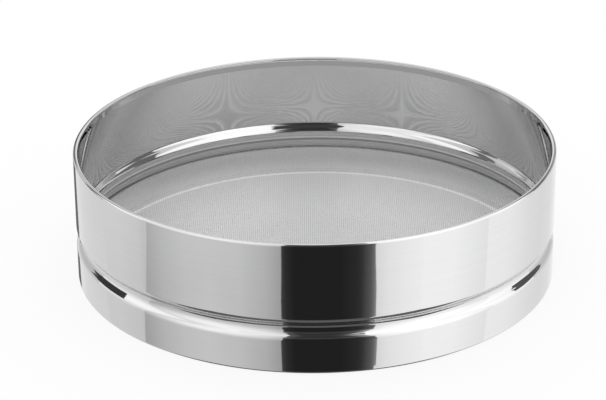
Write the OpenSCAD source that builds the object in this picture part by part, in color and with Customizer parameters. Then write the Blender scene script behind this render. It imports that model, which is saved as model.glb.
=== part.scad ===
// Tamis: a stainless steel drum sieve.
// Millimetres, +Z up. The origin is the centre of the face the sieve stands on.

/* [Hoop] */
// Overall diameter, measured over the wall
hoop_d = 300; // [160:1:420]
// Overall height, from the standing face to the top of the rim
height = 82.5; // [70:0.5:130]
// Thickness of the hoop's sheet steel
sheet_t = 0.8; // [0.5:0.05:1.1]

/* [Rolled rim] */
// Thickness of the rolled edge, from the wall's outer face to the leaf's inner face
roll_d = 3; // [2.6:0.1:3.4]
// Length of the leaf that is rolled down inside the wall
leaf_l = 4.5; // [3:0.1:4.9]
// Angle by which the leaf leans back to the wall
leaf_lean = 15; // [0:1:15]

/* [Bead] */
// Height of the bead's crown above the standing face
bead_z = 27.8; // [27:0.1:32]
// Height of the bead, with its blends
bead_h = 15; // [12:0.5:17]
// How far the bead is pressed in from the wall
bead_depth = 3.8; // [2.5:0.1:4.5]
// Radius of the blends between the bead and the wall
bead_blend_r = 4; // [3:0.5:5]

/* [Standing lip] */
// Radius of the bend from the wall into the lip, at mid sheet
lip_bend_r = 0.8; // [0.6:0.1:1]

/* [Sieve cloth] */
// Diameter of a wire
wire_d = 1; // [0.6:0.05:1.2]
// Distance from one wire to the next
wire_pitch = 16.2; // [14:0.2:30]
// Thickness of the border that is turned down between the ring and the wall
border_t = 0.7; // [0.4:0.05:1.2]
// Height of the turned-down border
border_h = 9; // [5:0.5:12]

/* [Clamp ring] */
// Height of the ring's upper edge, on which the cloth lies
ring_top_z = 16.6; // [15:0.1:17.5]
// Thickness of the clamp ring's band
ring_t = 0.8; // [0.5:0.05:1.2]
// Clearance between pieces that seat on each other
seat_gap = 0.05; // [0.02:0.01:0.1]
// How far the lip stands in past the clamp ring's bore
lip_reach = 3.2; // [1:0.1:5]

/* [Hidden] */

hoop_steel = [0.80, 0.80, 0.82];
ring_steel = [0.70, 0.71, 0.73];
wire_steel = [0.60, 0.61, 0.63];

// Facets: degrees of bend per step, round a section and round a wire
bend_step = 7.5;
section_facets = 360;
wire_facets = 24;

// Rim: the wall's top rolls over inwards into the leaf
wall_r = hoop_d/2 - sheet_t/2;
roll_r = (roll_d - sheet_t)/2;
roll_centre = [wall_r - roll_r, height - roll_d/2];
leaf_end = roll_centre + roll_r*[-cos(leaf_lean), -sin(leaf_lean)] + leaf_l*[sin(leaf_lean), -cos(leaf_lean)];

// Bead: two blends and a crown that meet at one slope
bead_slope = 2*atan(bead_depth/(bead_h/2));
crown_r = bead_h/2/sin(bead_slope) - bead_blend_r;

// Radii of what is clamped in the skirt, from the wall inwards
cloth_r = wall_r - sheet_t/2 - seat_gap;
border_inner_r = cloth_r - border_t;
ring_outer_r = border_inner_r - seat_gap;
ring_inner_r = ring_outer_r - ring_t;
lip_end_r = ring_inner_r - lip_reach;

// Levels: the ring stands on the lip, and the cloth's two layers lie on the ring
ring_bottom_z = sheet_t + seat_gap;
weft_z = ring_top_z + seat_gap + wire_d/2;
warp_z = weft_z + wire_d + seat_gap;

// Wires stand half a pitch off the centre, out to the last that has a clear run
edge_margin = 2*wire_d;
wires_each_side = floor((cloth_r - edge_margin)/wire_pitch + 0.5);

// Points on a round stretch of an outline
function arc(centre, r, from, to) =
    let (steps = max(2, ceil(abs(to - from)/bend_step)))
    [for (i = [0:steps])
        let (a = from + (to - from)*i/steps)
        centre + r*[cos(a), sin(a)]];

function reversed(list) = [for (i = [len(list) - 1:-1:0]) list[i]];

// One face of the hoop's sheet, from the leaf over the rim, down the wall and along the lip.
// It lies at a distance of side from mid sheet, positive towards the wall on the leaf and
// towards the sieve's axis on the wall.
function sheet_face(side) = concat(
    [leaf_end + side*[cos(leaf_lean), sin(leaf_lean)]],
    arc(roll_centre, roll_r - side, 180 + leaf_lean, 0),
    arc([wall_r - bead_blend_r, bead_z + bead_h/2], bead_blend_r - side, 0, -bead_slope),
    arc([wall_r - bead_depth + crown_r, bead_z], crown_r + side, 180 - bead_slope, 180 + bead_slope),
    arc([wall_r - bead_blend_r, bead_z - bead_h/2], bead_blend_r - side, bead_slope, 0),
    arc([wall_r - lip_bend_r, lip_bend_r + sheet_t/2], lip_bend_r - side, 0, -90),
    [[lip_end_r, sheet_t/2 + side]]
);

// Section of the clamp ring: a band with a round upper edge that doesn't cut the cloth
function ring_section() = concat(
    [[ring_inner_r, ring_bottom_z], [ring_outer_r, ring_bottom_z]],
    arc([ring_outer_r - ring_t/2, ring_top_z - ring_t/2], ring_t/2, 0, 180)
);

// A layer of parallel wires along X, each cut to end at the wall
module wire_layer(level) {
    for (i = [0:wires_each_side - 1])
        for (side = [-1, 1]) {
            offset = (i + 0.5)*wire_pitch;
            reach = sqrt(pow(cloth_r, 2) - pow(offset + wire_d/2, 2));
            translate([0, side*offset, level])
                rotate([0, 90, 0])
                    cylinder(d = wire_d, h = 2*reach, center = true);
        }
}

// Band of sheet steel: rolled rim, wall, pressed bead and turned-in standing lip
module outer_hoop() {
    color(hoop_steel)
        rotate_extrude($fn = section_facets)
            polygon(concat(sheet_face(sheet_t/2), reversed(sheet_face(-sheet_t/2))));
}

// Inner band that stands on the lip, carries the cloth and wedges its border against the wall
module clamp_ring() {
    color(ring_steel)
        rotate_extrude($fn = section_facets)
            polygon(ring_section());
}

// The cloth's rim, turned down over the ring so that the ring wedges it against the wall
module cloth_border() {
    color(wire_steel)
        translate([0, 0, ring_top_z - border_h])
            difference() {
                cylinder(r = cloth_r, h = border_h, $fn = section_facets);
                translate([0, 0, -border_h/2])
                    cylinder(r = border_inner_r, h = 2*border_h, $fn = section_facets);
            }
}

// Upper layer of the cloth
module warp_wires() {
    color(wire_steel)
        wire_layer(warp_z, $fn = wire_facets);
}

// Lower layer of the cloth, square to the upper one
module weft_wires() {
    color(wire_steel)
        rotate([0, 0, 90])
            wire_layer(weft_z, $fn = wire_facets);
}

outer_hoop();
clamp_ring();
cloth_border();
warp_wires();
weft_wires();
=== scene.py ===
"""Tamis drum sieve: polished steel hoop, clamp ring and woven wire cloth, in a light tent."""

import math

import bpy
import numpy as np
from mathutils import Matrix, Vector


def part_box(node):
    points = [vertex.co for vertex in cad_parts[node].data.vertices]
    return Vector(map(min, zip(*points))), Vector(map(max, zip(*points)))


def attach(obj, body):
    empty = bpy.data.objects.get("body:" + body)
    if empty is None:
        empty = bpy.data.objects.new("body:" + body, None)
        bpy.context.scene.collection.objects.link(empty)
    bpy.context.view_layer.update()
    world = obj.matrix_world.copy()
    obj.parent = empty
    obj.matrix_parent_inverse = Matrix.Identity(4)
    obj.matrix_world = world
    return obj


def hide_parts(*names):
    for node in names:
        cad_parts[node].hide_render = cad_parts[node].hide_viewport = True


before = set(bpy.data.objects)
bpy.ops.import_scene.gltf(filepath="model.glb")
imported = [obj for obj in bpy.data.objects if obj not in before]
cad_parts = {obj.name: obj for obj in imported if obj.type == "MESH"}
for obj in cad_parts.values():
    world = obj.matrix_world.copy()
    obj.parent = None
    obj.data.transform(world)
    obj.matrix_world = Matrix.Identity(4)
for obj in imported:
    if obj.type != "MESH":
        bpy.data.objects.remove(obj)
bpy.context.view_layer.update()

MM = 0.001

# Sizes read from the frame
HOOP_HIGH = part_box("outer_hoop")[1]
RIM_R = HOOP_HIGH.x
HEIGHT = HOOP_HIGH.z
CLOTH_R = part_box("cloth_border")[1].x
BORDER_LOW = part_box("cloth_border")[0].z
RING_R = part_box("clamp_ring")[1].x
RING_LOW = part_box("clamp_ring")[0].z
RING_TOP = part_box("clamp_ring")[1].z

# Sheet steel of the hoop, in metres
SHEET_T = 0.8*MM
ROLL_D = 3*MM
LEAF_L = 4.5*MM
LEAF_LEAN = math.radians(15)
BEAD_Z = 27.8*MM
BEAD_H = 15*MM
BEAD_DEPTH = 3.8*MM
BEAD_BLEND_R = 4*MM
LIP_BEND_R = 0.8*MM
RING_T = 0.8*MM
LIP_REACH = 3.2*MM

# Woven wire, and the pieces that each layer of it is made in
WIRE_D = 0.35*MM
PITCH = 1.25*MM
WIRE_SIDES = 6
STRIPS = 8

# Where a wire turns down over the ring: how much of its corner is cut off, and how far from the
# turned-down leg its last crimp stays
CORNER_CUT = 0.3*WIRE_D
CLEAR_OF_LEG = 1.5*WIRE_D

# So much more than its share the last strip takes, so that rounding leaves no wire out
ROUNDING = 1e-9

# Facets of the turned metal, and the angle from which an edge of it shows as sharp
HOOP_SEGMENTS = 480
ARC_STEP = math.radians(6)
SHARP_ANGLE = math.radians(50)

# Steels: colour, roughness, how the streaks are stretched, and how fine the grain is
HOOP_STEEL = ((0.68, 0.68, 0.685), 0.04, (1, 1, 30), 12)
RING_STEEL = ((0.70, 0.70, 0.71), 0.22, (1, 1, 30), 20)
WIRE_STEEL = ((0.64, 0.64, 0.645), 0.42, (1, 1, 1), 6)

# How far the streaks change the roughness and the tone, and how detailed they are
ROUGH_SPREAD = (0.8, 1.25)
TONE_SPREAD = (0.97, 1.02)
STREAK_DETAIL = 4


def arc(centre, radius, start, end):
    """Points on a round stretch of an outline, as (radius, height) pairs."""
    steps = max(3, math.ceil(abs(end - start)/ARC_STEP))
    angles = [start + (end - start)*i/steps for i in range(steps + 1)]
    return [(centre[0] + radius*math.cos(a), centre[1] + radius*math.sin(a)) for a in angles]


def hoop_outline():
    """The hoop's section: the sheet's inner face from rim to lip, and its outer face back."""
    half = math.pi/2
    wall_r = RIM_R - SHEET_T/2
    roll_r = (ROLL_D - SHEET_T)/2
    roll = (wall_r - roll_r, HEIGHT - ROLL_D/2)
    leaf_out = (math.cos(LEAF_LEAN), math.sin(LEAF_LEAN))
    leaf_end = (roll[0] - roll_r*leaf_out[0] + LEAF_L*leaf_out[1],
                roll[1] - roll_r*leaf_out[1] - LEAF_L*leaf_out[0])
    slope = 2*math.atan(BEAD_DEPTH/(BEAD_H/2))
    crown_r = BEAD_H/2/math.sin(slope) - BEAD_BLEND_R
    lip_end = RING_R - RING_T - LIP_REACH

    def face(side):
        points = [(leaf_end[0] + side*leaf_out[0], leaf_end[1] + side*leaf_out[1])]
        points += arc(roll, roll_r - side, math.pi + LEAF_LEAN, 0)
        points += arc((wall_r - BEAD_BLEND_R, BEAD_Z + BEAD_H/2), BEAD_BLEND_R - side, 0, -slope)
        crown = (wall_r - BEAD_DEPTH + crown_r, BEAD_Z)
        points += arc(crown, crown_r + side, math.pi - slope, math.pi + slope)[1:]
        points += arc((wall_r - BEAD_BLEND_R, BEAD_Z - BEAD_H/2), BEAD_BLEND_R - side, slope, 0)[1:]
        points += arc((wall_r - LIP_BEND_R, LIP_BEND_R + SHEET_T/2), LIP_BEND_R - side, 0, -half)
        return points

    lip_edge = arc((lip_end + SHEET_T/2, SHEET_T/2), SHEET_T/2, half, 3*half)
    return face(SHEET_T/2) + lip_edge + face(-SHEET_T/2)[::-1]


def ring_outline():
    """The clamp ring's section: a band with a round upper edge."""
    inner = RING_R - RING_T
    top = arc((RING_R - RING_T/2, RING_TOP - RING_T/2), RING_T/2, 0, math.pi)
    return [(inner, RING_LOW), (RING_R, RING_LOW)] + top


def add_piece(name, mesh, material):
    """A mesh as a piece of the sieve that rides on the only body."""
    mesh.materials.append(material)
    obj = bpy.data.objects.new(name, mesh)
    bpy.context.scene.collection.objects.link(obj)
    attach(obj, "root")
    return obj


def revolve(name, outline, material):
    """A closed outline turned about the sieve's axis, smooth but for its sheared edges."""
    count = len(outline)
    angles = np.linspace(0, 2*math.pi, HOOP_SEGMENTS, endpoint=False)
    r = np.array([p[0] for p in outline])
    z = np.array([p[1] for p in outline])
    points = np.stack([np.outer(np.cos(angles), r), np.outer(np.sin(angles), r),
                       np.tile(z, (HOOP_SEGMENTS, 1))], axis=2).reshape(-1, 3)
    faces = []
    for i in range(HOOP_SEGMENTS):
        here, there = i*count, (i + 1) % HOOP_SEGMENTS*count
        for j in range(count):
            k = (j + 1) % count
            faces.append((here + j, here + k, there + k, there + j))
    mesh = bpy.data.meshes.new(name)
    mesh.from_pydata(points.tolist(), [], faces)
    mesh.update()
    mesh.shade_smooth()
    mesh.set_sharp_from_angle(angle=SHARP_ANGLE)
    return add_piece(name, mesh, material)


def tube_mesh(name, paths, material):
    """Round wires joined in one mesh. Each is a path of points and the direction square to it."""
    turn = np.linspace(0, 2*math.pi, WIRE_SIDES, endpoint=False)
    all_points, all_faces, first = [], [], 0
    for path, across in paths:
        rings = len(path)
        along = np.gradient(path, axis=0)
        along /= np.linalg.norm(along, axis=1)[:, None]
        side = np.tile(across, (rings, 1))
        up = np.cross(along, side)
        ring = (path[:, None, :] + WIRE_D/2*(np.cos(turn)[None, :, None]*side[:, None, :]
                                             + np.sin(turn)[None, :, None]*up[:, None, :]))
        all_points.append(ring.reshape(-1, 3))
        i = np.arange(rings - 1)[:, None]*WIRE_SIDES + first
        j = np.arange(WIRE_SIDES)[None, :]
        k = (j + 1) % WIRE_SIDES
        quads = np.stack([i + j, i + k, i + WIRE_SIDES + k, i + WIRE_SIDES + j], axis=2)
        all_faces.append(quads.reshape(-1, 4))
        first += rings*WIRE_SIDES
    points = np.concatenate(all_points)
    faces = np.concatenate(all_faces)
    mesh = bpy.data.meshes.new(name)
    mesh.vertices.add(len(points))
    mesh.vertices.foreach_set("co", points.astype(np.float32).ravel())
    mesh.loops.add(faces.size)
    mesh.loops.foreach_set("vertex_index", faces.astype(np.int32).ravel())
    mesh.polygons.add(len(faces))
    mesh.polygons.foreach_set("loop_start", np.arange(0, faces.size, 4, dtype=np.int32))
    mesh.polygons.foreach_set("use_smooth", np.ones(len(faces), dtype=bool))
    mesh.update(calc_edges=True)
    mesh.validate()
    return add_piece(name, mesh, material)


def wire_path(offset, index, leg_r, level, lift):
    """One crimped wire along X at this offset, with its ends turned down inside the wall."""
    reach = math.sqrt(leg_r**2 - offset**2)
    half_steps = int(reach/(PITCH/2))
    x = np.arange(-half_steps, half_steps + 1)*PITCH/2
    x = x[np.abs(x) < reach - CLEAR_OF_LEG]
    z = level + lift*(-1)**index*np.sin(math.pi*x/PITCH)
    foot, knee = (reach, BORDER_LOW), (reach, level - WIRE_D)
    corner = (reach - CORNER_CUT, level - CORNER_CUT)
    start = [(-place, height) for place, height in (foot, knee, corner)]
    points = np.array(start + list(zip(x, z)) + [corner, knee, foot])
    return np.stack([points[:, 0], np.full(len(points), offset), points[:, 1]], axis=1)


def woven_layer(name, node, leg_r, level, lift, turned, material):
    """All the wires of one direction, in strips of like size."""
    count = int((leg_r - WIRE_D)/PITCH - 0.5)
    indices = list(range(-count - 1, count + 1))
    lengths = np.array([math.sqrt(max(leg_r**2 - ((i + 0.5)*PITCH)**2, 0)) for i in indices])
    share = np.cumsum(lengths)/lengths.sum()
    pieces = []
    for strip in range(STRIPS):
        chosen = [i for i, s in zip(indices, share)
                  if strip/STRIPS < s <= (strip + 1)/STRIPS + (ROUNDING if strip == STRIPS - 1 else 0)]
        paths = []
        for i in chosen:
            path = wire_path((i + 0.5)*PITCH, i, leg_r, level, lift)
            across = np.array([0.0, 1.0, 0.0])
            if turned:
                path = path[:, [1, 0, 2]]
                across = np.array([1.0, 0.0, 0.0])
            paths.append((path, across))
        piece = tube_mesh(f"{name}_{strip + 1}", paths, material)
        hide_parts(node)
        pieces.append(piece)
    return pieces


def steel(name, colour, roughness, streak, grain):
    """Polished or drawn steel: fine streaks round the hoop in the roughness and the tone."""
    material = bpy.data.materials.new(name)
    material.use_nodes = True
    nodes, links = material.node_tree.nodes, material.node_tree.links
    shader = nodes["Principled BSDF"]
    shader.inputs["Metallic"].default_value = 1.0
    coords = nodes.new("ShaderNodeTexCoord")
    stretch = nodes.new("ShaderNodeMapping")
    stretch.inputs["Scale"].default_value = streak
    noise = nodes.new("ShaderNodeTexNoise")
    noise.inputs["Scale"].default_value = grain
    noise.inputs["Detail"].default_value = STREAK_DETAIL
    ramp = nodes.new("ShaderNodeMapRange")
    ramp.inputs["To Min"].default_value = roughness*ROUGH_SPREAD[0]
    ramp.inputs["To Max"].default_value = roughness*ROUGH_SPREAD[1]
    tone = nodes.new("ShaderNodeMix")
    tone.data_type = "RGBA"
    tone.inputs["A"].default_value = (*[c*TONE_SPREAD[0] for c in colour], 1)
    tone.inputs["B"].default_value = (*[c*TONE_SPREAD[1] for c in colour], 1)
    links.new(coords.outputs["Object"], stretch.inputs["Vector"])
    links.new(stretch.outputs["Vector"], noise.inputs["Vector"])
    links.new(noise.outputs["Fac"], ramp.inputs["Value"])
    links.new(noise.outputs["Fac"], tone.inputs["Factor"])
    links.new(ramp.outputs["Result"], shader.inputs["Roughness"])
    links.new(tone.outputs["Result"], shader.inputs["Base Color"])
    return material


# Camera, fitted to the outlines in the photograph of 606 by 400 pixels
PHOTO_W, PHOTO_H = 606, 400
FOCAL_PX = 2544.0
DISTANCE = 1.6
ELEVATION = math.radians(24.35)
AIM = Vector((0, 0, 0.040))
AIM_PX = (315.15, 204.94)
ROLL = math.radians(0.45)
SENSOR = 36.0
CLIP_END = 20


def place_camera():
    """The photograph's view: the aim point lands at AIM_PX."""
    data = bpy.data.cameras.new("camera")
    camera = bpy.data.objects.new("camera", data)
    bpy.context.scene.collection.objects.link(camera)
    data.sensor_fit = "HORIZONTAL"
    data.sensor_width = SENSOR
    data.lens = SENSOR*FOCAL_PX/PHOTO_W
    data.clip_end = CLIP_END
    data.shift_x = (PHOTO_W/2 - AIM_PX[0])/PHOTO_W
    data.shift_y = (AIM_PX[1] - PHOTO_H/2)/PHOTO_W
    forward = Vector((0, math.cos(ELEVATION), -math.sin(ELEVATION)))
    right = Vector((1, 0, 0))
    up = right.cross(forward)
    turned = Matrix.Rotation(ROLL, 3, forward)
    right, up = turned @ right, turned @ up
    basis = Matrix((right, up, -forward)).transposed().to_4x4()
    camera.matrix_world = Matrix.Translation(AIM - forward*DISTANCE) @ basis
    bpy.context.scene.camera = camera


# Light tent, in metres: half its width, its floor and its roof
TENT = 0.425
TENT_LOW, TENT_TOP = -0.40, 0.90
TENT_GAIN = 1.15

# How low its parts hang, and how far one that covers another stands off it
BOARD_LOW = -0.275
FAR_LOW = BOARD_LOW - 0.02
SLIT_LOW = -0.180
APRON_LOW = TENT_LOW - 0.1
APRON_LAP = 0.01
STAND_OFF = 0.002

# Where the boards meet: the slit in X, the side boards in Y, the dark back board in X
SLIT_LEFT, SLIT_RIGHT = -0.092, 0.178
LEFT_START, LEFT_SPLIT = -0.2, 0.08
RIGHT_START, RIGHT_SPLIT = -0.12, 0.09
BACK_DARK_START, BACK_DARK_END = -0.325, -0.148
BACK_DARK_TOP = 0.25
GROUND_SPLIT = -0.10

# Glowing disc that the underside of the cloth and the bead reflect, painted with the shade of the ground
# under the sieve
UNDER_R, UNDER_Z = 147.5*MM, 0.95*MM
UNDER_SIDES = 96

# Degrees from corner to corner of the strips along the rim
PAINTED_STRIP_STEP = 5

# Small flags beside the sieve, from their height at the sieve's middle
FLAG_TOP = 0.134
FLAG_SLOPE = math.tan(math.radians(15))

# Levels up the boards, as (height, level)
LEFT_UP = [(-0.3, 0.97), (-0.15, 0.95), (-0.05, 1.02), (0.05, 1.25), (0.2, 1.55), (0.9, 1.65)]
RIGHT_UP = [(-0.3, 1.0), (-0.05, 1.02), (0.03, 1.16), (0.2, 1.25), (0.9, 1.3)]
FAR_UP = [(-0.3, 1.0), (-0.06, 1.0), (0.03, 0.84), (0.12, 0.76), (0.5, 0.84), (0.9, 1.0)]


def times(nodes, links, value, factor):
    """A value multiplied by a number or by another value."""
    product = nodes.new("ShaderNodeMath")
    product.operation = "MULTIPLY"
    links.new(value, product.inputs[0])
    if isinstance(factor, float):
        product.inputs[1].default_value = factor
    else:
        links.new(factor, product.inputs[1])
    return product.outputs[0]


def level_along(nodes, links, axis, stops):
    """A level that changes along X, Y, Z or R, the distance from the sieve's axis: stops are
    (metres, level) pairs."""
    coords = nodes.new("ShaderNodeTexCoord")
    if axis == "R":
        place_of = nodes.new("ShaderNodeVectorMath")
        place_of.operation = "LENGTH"
    else:
        place_of = nodes.new("ShaderNodeSeparateXYZ")
    links.new(coords.outputs["Object"], place_of.inputs[0])
    span = nodes.new("ShaderNodeMapRange")
    low, high = stops[0][0], stops[-1][0]
    span.inputs["From Min"].default_value = low
    span.inputs["From Max"].default_value = high
    links.new(place_of.outputs["Value" if axis == "R" else axis], span.inputs["Value"])
    ramp = nodes.new("ShaderNodeValToRGB")
    elements = ramp.color_ramp.elements
    while len(elements) < len(stops):
        elements.new(0.5)
    top = float(max(level for _, level in stops))
    for element, (place, level) in zip(elements, stops):
        element.position = (place - low)/(high - low)
        element.color = (level/top, level/top, level/top, 1)
    links.new(span.outputs["Result"], ramp.inputs["Fac"])
    return times(nodes, links, ramp.outputs["Color"], top)


def glow(name, level, gradients=()):
    """A bright surface. Its level is changed by gradients, each an axis and its stops."""
    material = bpy.data.materials.new(name)
    material.use_nodes = True
    nodes, links = material.node_tree.nodes, material.node_tree.links
    nodes.clear()
    out = nodes.new("ShaderNodeOutputMaterial")
    emit = nodes.new("ShaderNodeEmission")
    strength = TENT_GAIN*level
    emit.inputs["Strength"].default_value = strength
    for axis, stops in gradients:
        strength = times(nodes, links, level_along(nodes, links, axis, stops), strength)
    if gradients:
        links.new(strength, emit.inputs["Strength"])
    links.new(emit.outputs[0], out.inputs["Surface"])
    return material


def panel(name, corners, level, gradients=()):
    """A flat panel of the light tent, seen only in reflections."""
    mesh = bpy.data.meshes.new(name)
    mesh.from_pydata(corners, [], [tuple(range(len(corners)))])
    mesh.materials.append(glow(name, level, gradients))
    obj = bpy.data.objects.new(name, mesh)
    bpy.context.scene.collection.objects.link(obj)
    obj.visible_camera = False
    obj.visible_diffuse = False
    obj.visible_shadow = False


def upright(name, a, b, low, high, level=1, across=None, up=None):
    """An upright board between two places on the ground. Its level may change across and up."""
    axis = "X" if abs(a[0] - b[0]) > abs(a[1] - b[1]) else "Y"
    gradients = [(way, stops) for way, stops in ((axis, across), ("Z", up)) if stops]
    panel(name, [(*a, low), (*b, low), (*b, high), (*a, high)], level, gradients)


def level_panel(name, x, y, z, level=1, across=None, along=None):
    """A level panel, over x[0]..x[1] and y[0]..y[1]. Its level may change along X and Y."""
    gradients = [(way, stops) for way, stops in (("X", across), ("Y", along)) if stops]
    panel(name, [(x[0], y[0], z), (x[1], y[0], z), (x[1], y[1], z), (x[0], y[1], z)], level, gradients)


def side_panel(name, x, outline, level, gradients=()):
    """An upright panel square to X, with an outline of (Y, Z) places."""
    panel(name, [(x, y, z) for y, z in outline], level, gradients)


def flag(name, outline, level):
    """A small dark panel beside the sieve, seen in the groove. It slopes away from the wall, so
    that a camera looking down at the wall sees it edge on."""
    panel(name, [(x, y, FLAG_TOP - FLAG_SLOPE*abs(x)) for x, y in outline], level)


def painted_shade_strip(name, inner, outer, z, spread, level):
    """A thin level strip along the far side of the sieve, this many degrees to both sides, seen only
    in reflections: painted shade that gives a narrow band of the metal an even, dim tone."""
    turns = [math.radians(a) for a in range(90 - spread, 91 + spread, PAINTED_STRIP_STEP)]
    points = [(outer*math.cos(a), outer*math.sin(a), z) for a in turns]
    points += [(inner*math.cos(a), inner*math.sin(a), z) for a in reversed(turns)]
    panel(name, points, level)


def front_boards():
    """Two bright boards with a dark slit between them, which gives the dark bar on the wall."""
    upright("tent_front_left", (-TENT, -TENT), (SLIT_LEFT, -TENT), BOARD_LOW, TENT_TOP, 1,
            [(-0.425, 0.72), (-0.25, 0.67), (-0.15, 0.55), (-0.09, 0.40)], LEFT_UP)
    upright("tent_front_right", (SLIT_RIGHT, -TENT), (TENT, -TENT), BOARD_LOW, TENT_TOP, 1,
            [(0.18, 0.83), (0.23, 0.94), (0.31, 1.01), (0.425, 1.07)], RIGHT_UP)
    slit = [(-0.1005, SLIT_LOW), (0.1855, SLIT_LOW), (0.1855, -0.105), (0.1805, -0.065), (0.1735, 0.10),
            (0.184, 0.20), (0.184, 0.45), (0.233, 0.70), (0.238, TENT_TOP), (-0.137, TENT_TOP),
            (-0.132, 0.70), (-0.107, 0.45), (-0.10, 0.20), (-0.0925, 0.10), (-0.0975, -0.065),
            (-0.1005, -0.105)]
    across = [(-0.15, 0.045), (-0.095, 0.05), (-0.085, 0.03), (-0.06, 0.017), (0.07, 0.017),
              (0.12, 0.028), (0.135, 0.04), (0.165, 0.11), (0.175, 0.17), (0.185, 0.30)]
    up = [(-0.2, 1.0), (0.10, 1.0), (0.17, 1.7), (0.26, 4.2), (0.36, 2.2), (0.50, 1.9), (0.9, 2.6)]
    panel("tent_slit", [(x, -TENT + STAND_OFF, z) for x, z in slit], 1, [("X", across), ("Z", up)])


def side_boards():
    """The boards on the left and on the right, darker near the camera and duller far from it."""
    near = [(-TENT, BOARD_LOW), (-0.08, BOARD_LOW), (-0.114, -0.15), (-0.1375, -0.07), (-0.145, 0),
            (-0.145, TENT_TOP), (-TENT, TENT_TOP)]
    side_panel("tent_left_near", -TENT + STAND_OFF, near, 1,
               [("Y", [(-0.425, 0.72), (-0.3, 0.69), (-0.2, 0.60), (-0.12, 0.47)]), ("Z", LEFT_UP)])
    across = [(-0.12, 0.66), (-0.10, 0.71), (0, 0.76), (0.425, 0.77)]
    upright("tent_left_middle", (-TENT, LEFT_START), (-TENT, LEFT_SPLIT), FAR_LOW, TENT_TOP, 1,
            across, LEFT_UP)
    upright("tent_left_far", (-TENT, LEFT_SPLIT), (-TENT, TENT), FAR_LOW, TENT_TOP, 1, across, FAR_UP)
    upright("tent_right_near", (TENT, -TENT), (TENT, RIGHT_START), BOARD_LOW, TENT_TOP, 1,
            [(-0.425, 1.09), (-0.27, 1.08), (-0.12, 0.94)], RIGHT_UP)
    across = [(-0.12, 1.03), (-0.03, 1.0), (0.08, 0.89), (0.22, 0.81), (0.425, 0.79)]
    upright("tent_right_middle", (TENT, RIGHT_START), (TENT, RIGHT_SPLIT), FAR_LOW, TENT_TOP, 1,
            across, RIGHT_UP)
    upright("tent_right_far", (TENT, RIGHT_SPLIT), (TENT, TENT), FAR_LOW, TENT_TOP, 1, across, FAR_UP)


def back_boards():
    """The board behind the sieve, with a dark stretch low on its left."""
    upright("tent_back_left", (-TENT, TENT), (BACK_DARK_START, TENT), FAR_LOW, TENT_TOP, 0.79)
    upright("tent_back_dark", (BACK_DARK_START, TENT), (BACK_DARK_END, TENT), FAR_LOW, BACK_DARK_TOP, 0.14)
    upright("tent_back_high", (BACK_DARK_START, TENT), (BACK_DARK_END, TENT), BACK_DARK_TOP, TENT_TOP, 0.85)
    upright("tent_back", (BACK_DARK_END, TENT), (TENT, TENT), FAR_LOW, TENT_TOP, 1,
            [(-0.15, 0.88), (0.25, 0.85), (0.425, 0.79)])


def dark_patches():
    """Dark panels before the boards, which give the darker patches on the inner wall and the bead,
    and flags beside the sieve, which give the dark dashes in the groove."""
    side_panel("tent_left_dark", -TENT + STAND_OFF,
               [(0.105, 0.09), (0.105, 0.22), (0.19, 0.48), (0.25, 0.62), (0.36, 0.62), (0.29, 0.42),
                (0.195, 0.20), (0.17, 0.10)], 0.17)
    side_panel("tent_right_dark", TENT - STAND_OFF,
               [(0.075, 0.09), (0.075, 0.22), (0.18, 0.48), (0.25, 0.62), (0.42, 0.62), (0.42, 0.19),
                (0.215, 0.16), (0.20, 0.13)], 0.15)
    y = TENT - STAND_OFF
    upright("tent_back_spot", (-0.42, y), (-0.29, y), 0.06, 0.28, 0.13)
    upright("tent_back_dim_left", (-0.29, y), (-0.16, y), 0.25, 0.40, 0.35)
    upright("tent_back_dim_right", (0.17, y), (TENT, y), 0.08, 0.40, 0.36)
    flag("tent_left_flag",
         [(-0.265, -0.071), (-0.30, -0.005), (-0.30, 0.025), (-0.25, 0.034), (-0.21, -0.005),
          (-0.18, -0.058), (-0.215, -0.068)], 0.045)
    flag("tent_right_flag",
         [(0.27, -0.05), (0.297, -0.01), (0.275, 0.048), (0.245, 0.04), (0.215, 0), (0.197, -0.053)],
         0.10)


def aprons():
    """Cloths that close the tent below its boards."""
    upright("tent_front_apron", (-TENT, -TENT - STAND_OFF), (TENT, -TENT - STAND_OFF), APRON_LOW,
            SLIT_LOW + APRON_LAP, 0.115)
    for name, x in (("tent_left_apron", -TENT - STAND_OFF), ("tent_right_apron", TENT + STAND_OFF)):
        upright(name, (x, -TENT), (x, TENT), APRON_LOW, BOARD_LOW + APRON_LAP, 1,
                [(-0.425, 0.105), (-0.22, 0.105), (-0.08, 0.6), (0.425, 0.7)])
    upright("tent_back_apron", (-TENT, TENT + STAND_OFF), (TENT, TENT + STAND_OFF), APRON_LOW,
            FAR_LOW + APRON_LAP, 0.6)


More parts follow.
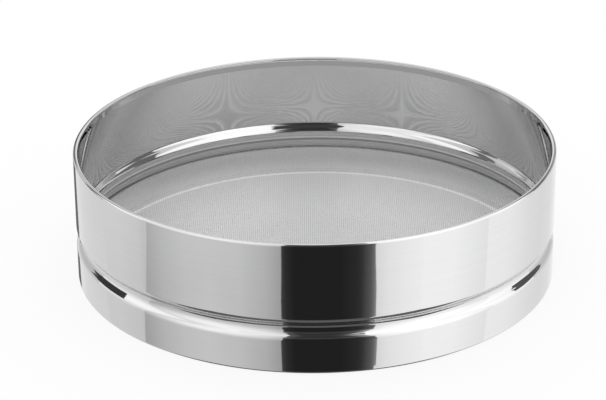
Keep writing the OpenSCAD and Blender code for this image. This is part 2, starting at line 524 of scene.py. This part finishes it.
def ground_and_roof():
    """The tent's own ground, which the metal reflects in place of the floor, and its roof."""
    level_panel("tent_ground", (-TENT, TENT), (GROUND_SPLIT, TENT), TENT_LOW, 1,
                [(-0.425, 0.58), (-0.33, 0.55), (-0.24, 0.42), (-0.17, 0.22), (-0.10, 0.12), (0.10, 0.12),
                 (0.17, 0.22), (0.24, 0.52), (0.33, 0.75), (0.425, 0.82)])
    level_panel("tent_ground_front", (-TENT, TENT), (-TENT, GROUND_SPLIT), TENT_LOW, 0.13)
    turns = [2*math.pi*i/UNDER_SIDES for i in range(UNDER_SIDES)]
    # Painted reflection of the ground under the sieve, in painted shade: darkest about 125 mm from the
    # axis, lighter towards the lip, and darker to the front and back
    painted_shade_from_axis = [(0, 0.78), (0.02, 0.8), (0.05, 1.0), (0.075, 1.0), (0.105, 0.7), (0.125, 0.38),
                 (0.14, 0.75), (UNDER_R, 0.95)]
    along = [(-0.15, 0.85), (-0.02, 0.9), (0.04, 1.05), (0.1, 0.85), (0.15, 0.85)]
    panel("tent_under_painted_shade", [(UNDER_R*math.cos(a), UNDER_R*math.sin(a), UNDER_Z) for a in turns], 1,
          [("R", painted_shade_from_axis), ("Y", along)])
    level_panel("tent_roof", (-TENT, TENT), (-TENT, TENT), TENT_TOP, 1,
                [(-0.425, 1.0), (0.06, 1.0), (0.15, 1.25), (0.425, 1.25)],
                [(-0.425, 1.0), (0.1, 1.0), (0.25, 0.85), (0.425, 0.8)])
    gap = [(-0.14, -TENT), (0.265, -TENT), (0.21, -0.22), (0.175, -0.10), (0.13, 0.03), (0.10, 0.06),
           (-0.06, 0.06), (-0.105, -0.01), (-0.12, -0.14)]
    panel("tent_roof_gap", [(x, y, TENT_TOP - STAND_OFF) for x, y in gap], 1,
          [("Y", [(-0.425, 0.05), (-0.05, 0.055), (0.06, 0.07)])])


def painted_rim_shade():
    """Dim strips over the roll, beside the leaf and in the corner under the bead: painted shade, seen only
    in the metal's reflections.
    """
    painted_shade_strip("painted_shade_over_roll", 142.5*MM, 147.5*MM, HEIGHT + 0.5*MM, 70, 0.58)
    painted_shade_strip("painted_shade_by_leaf", 143.4*MM, 148.1*MM, HEIGHT - 6.5*MM, 50, 0.37)
    painted_shade_strip("painted_shade_in_corner", 147.0*MM, 149.1*MM, RING_TOP + 1.1*MM, 80, 0.28)


# White ground, and how much of its white is its own, so that the sieve's shadow stays faint:
# away from the sieve, lower under it as painted shade, and in the light ring painted beside the lip's inner
# edge
FLOOR_SIZE = 3.0
FLOOR_GLOW = 0.82
PAINTED_SHADE_GLOW = 0.62
PAINTED_LIGHT_RING_GLOW = 1.25
GLOW_FROM_AXIS = [(0.08, FLOOR_GLOW), (0.1407, PAINTED_SHADE_GLOW), (0.1417, PAINTED_LIGHT_RING_GLOW), (0.1437, PAINTED_LIGHT_RING_GLOW),
                  (0.1445, PAINTED_SHADE_GLOW), (0.148, PAINTED_SHADE_GLOW), (0.149, FLOOR_GLOW)]


def floor():
    """A white floor with a faint shadow, painted shade under the sieve and a painted light ring.
    Reflections in the metal pass it and show the tent's ground."""
    mesh = bpy.data.meshes.new("floor")
    mesh.from_pydata([(-FLOOR_SIZE, -FLOOR_SIZE, 0), (FLOOR_SIZE, -FLOOR_SIZE, 0),
                      (FLOOR_SIZE, FLOOR_SIZE, 0), (-FLOOR_SIZE, FLOOR_SIZE, 0)], [], [(0, 1, 2, 3)])
    material = bpy.data.materials.new("floor_white")
    material.use_nodes = True
    nodes, links = material.node_tree.nodes, material.node_tree.links
    nodes.clear()
    out = nodes.new("ShaderNodeOutputMaterial")
    white = nodes.new("ShaderNodeBsdfDiffuse")
    white.inputs["Color"].default_value = (1 - FLOOR_GLOW, 1 - FLOOR_GLOW, 1 - FLOOR_GLOW, 1)
    own = nodes.new("ShaderNodeEmission")
    # Own glow by distance from the axis: painted shade under the sieve and a painted light ring by the lip
    links.new(level_along(nodes, links, "R", GLOW_FROM_AXIS), own.inputs["Strength"])
    ground = nodes.new("ShaderNodeAddShader")
    clear = nodes.new("ShaderNodeBsdfTransparent")
    path = nodes.new("ShaderNodeLightPath")
    mix = nodes.new("ShaderNodeMixShader")
    links.new(white.outputs[0], ground.inputs[0])
    links.new(own.outputs[0], ground.inputs[1])
    links.new(path.outputs["Is Glossy Ray"], mix.inputs[0])
    links.new(ground.outputs[0], mix.inputs[1])
    links.new(clear.outputs[0], mix.inputs[2])
    links.new(mix.outputs[0], out.inputs["Surface"])
    mesh.materials.append(material)
    obj = bpy.data.objects.new("floor", mesh)
    bpy.context.scene.collection.objects.link(obj)


def light():
    """A plain white world, and the tent that the metal reflects."""
    world = bpy.data.worlds.new("world")
    bpy.context.scene.world = world
    world.use_nodes = True
    background = world.node_tree.nodes["Background"]
    background.inputs["Color"].default_value = (1, 1, 1, 1)
    background.inputs["Strength"].default_value = 1.0
    front_boards()
    side_boards()
    back_boards()
    dark_patches()
    aprons()
    ground_and_roof()
    painted_rim_shade()


def build_sieve():
    """The hoop, the ring and the two layers of wire."""
    hoop_steel = steel("polished_hoop_steel", *HOOP_STEEL)
    ring_steel = steel("clamp_ring_steel", *RING_STEEL)
    wire = steel("wire_cloth_steel", *WIRE_STEEL)
    hoop = revolve("hoop", hoop_outline(), hoop_steel)
    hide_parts("outer_hoop")
    ring = revolve("inner_ring", ring_outline(), ring_steel)
    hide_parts("clamp_ring")
    level = RING_TOP + WIRE_D
    warp_leg_r = CLOTH_R - WIRE_D/2
    weft_leg_r = warp_leg_r - WIRE_D
    warp = woven_layer("warp", "warp_wires", warp_leg_r, level, WIRE_D/2, False, wire)
    woven_layer("weft", "weft_wires", weft_leg_r, level, -WIRE_D/2, True, wire)
    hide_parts("cloth_border")


bpy.context.scene.view_settings.view_transform = "Standard"
place_camera()
floor()
light()
build_sieve()
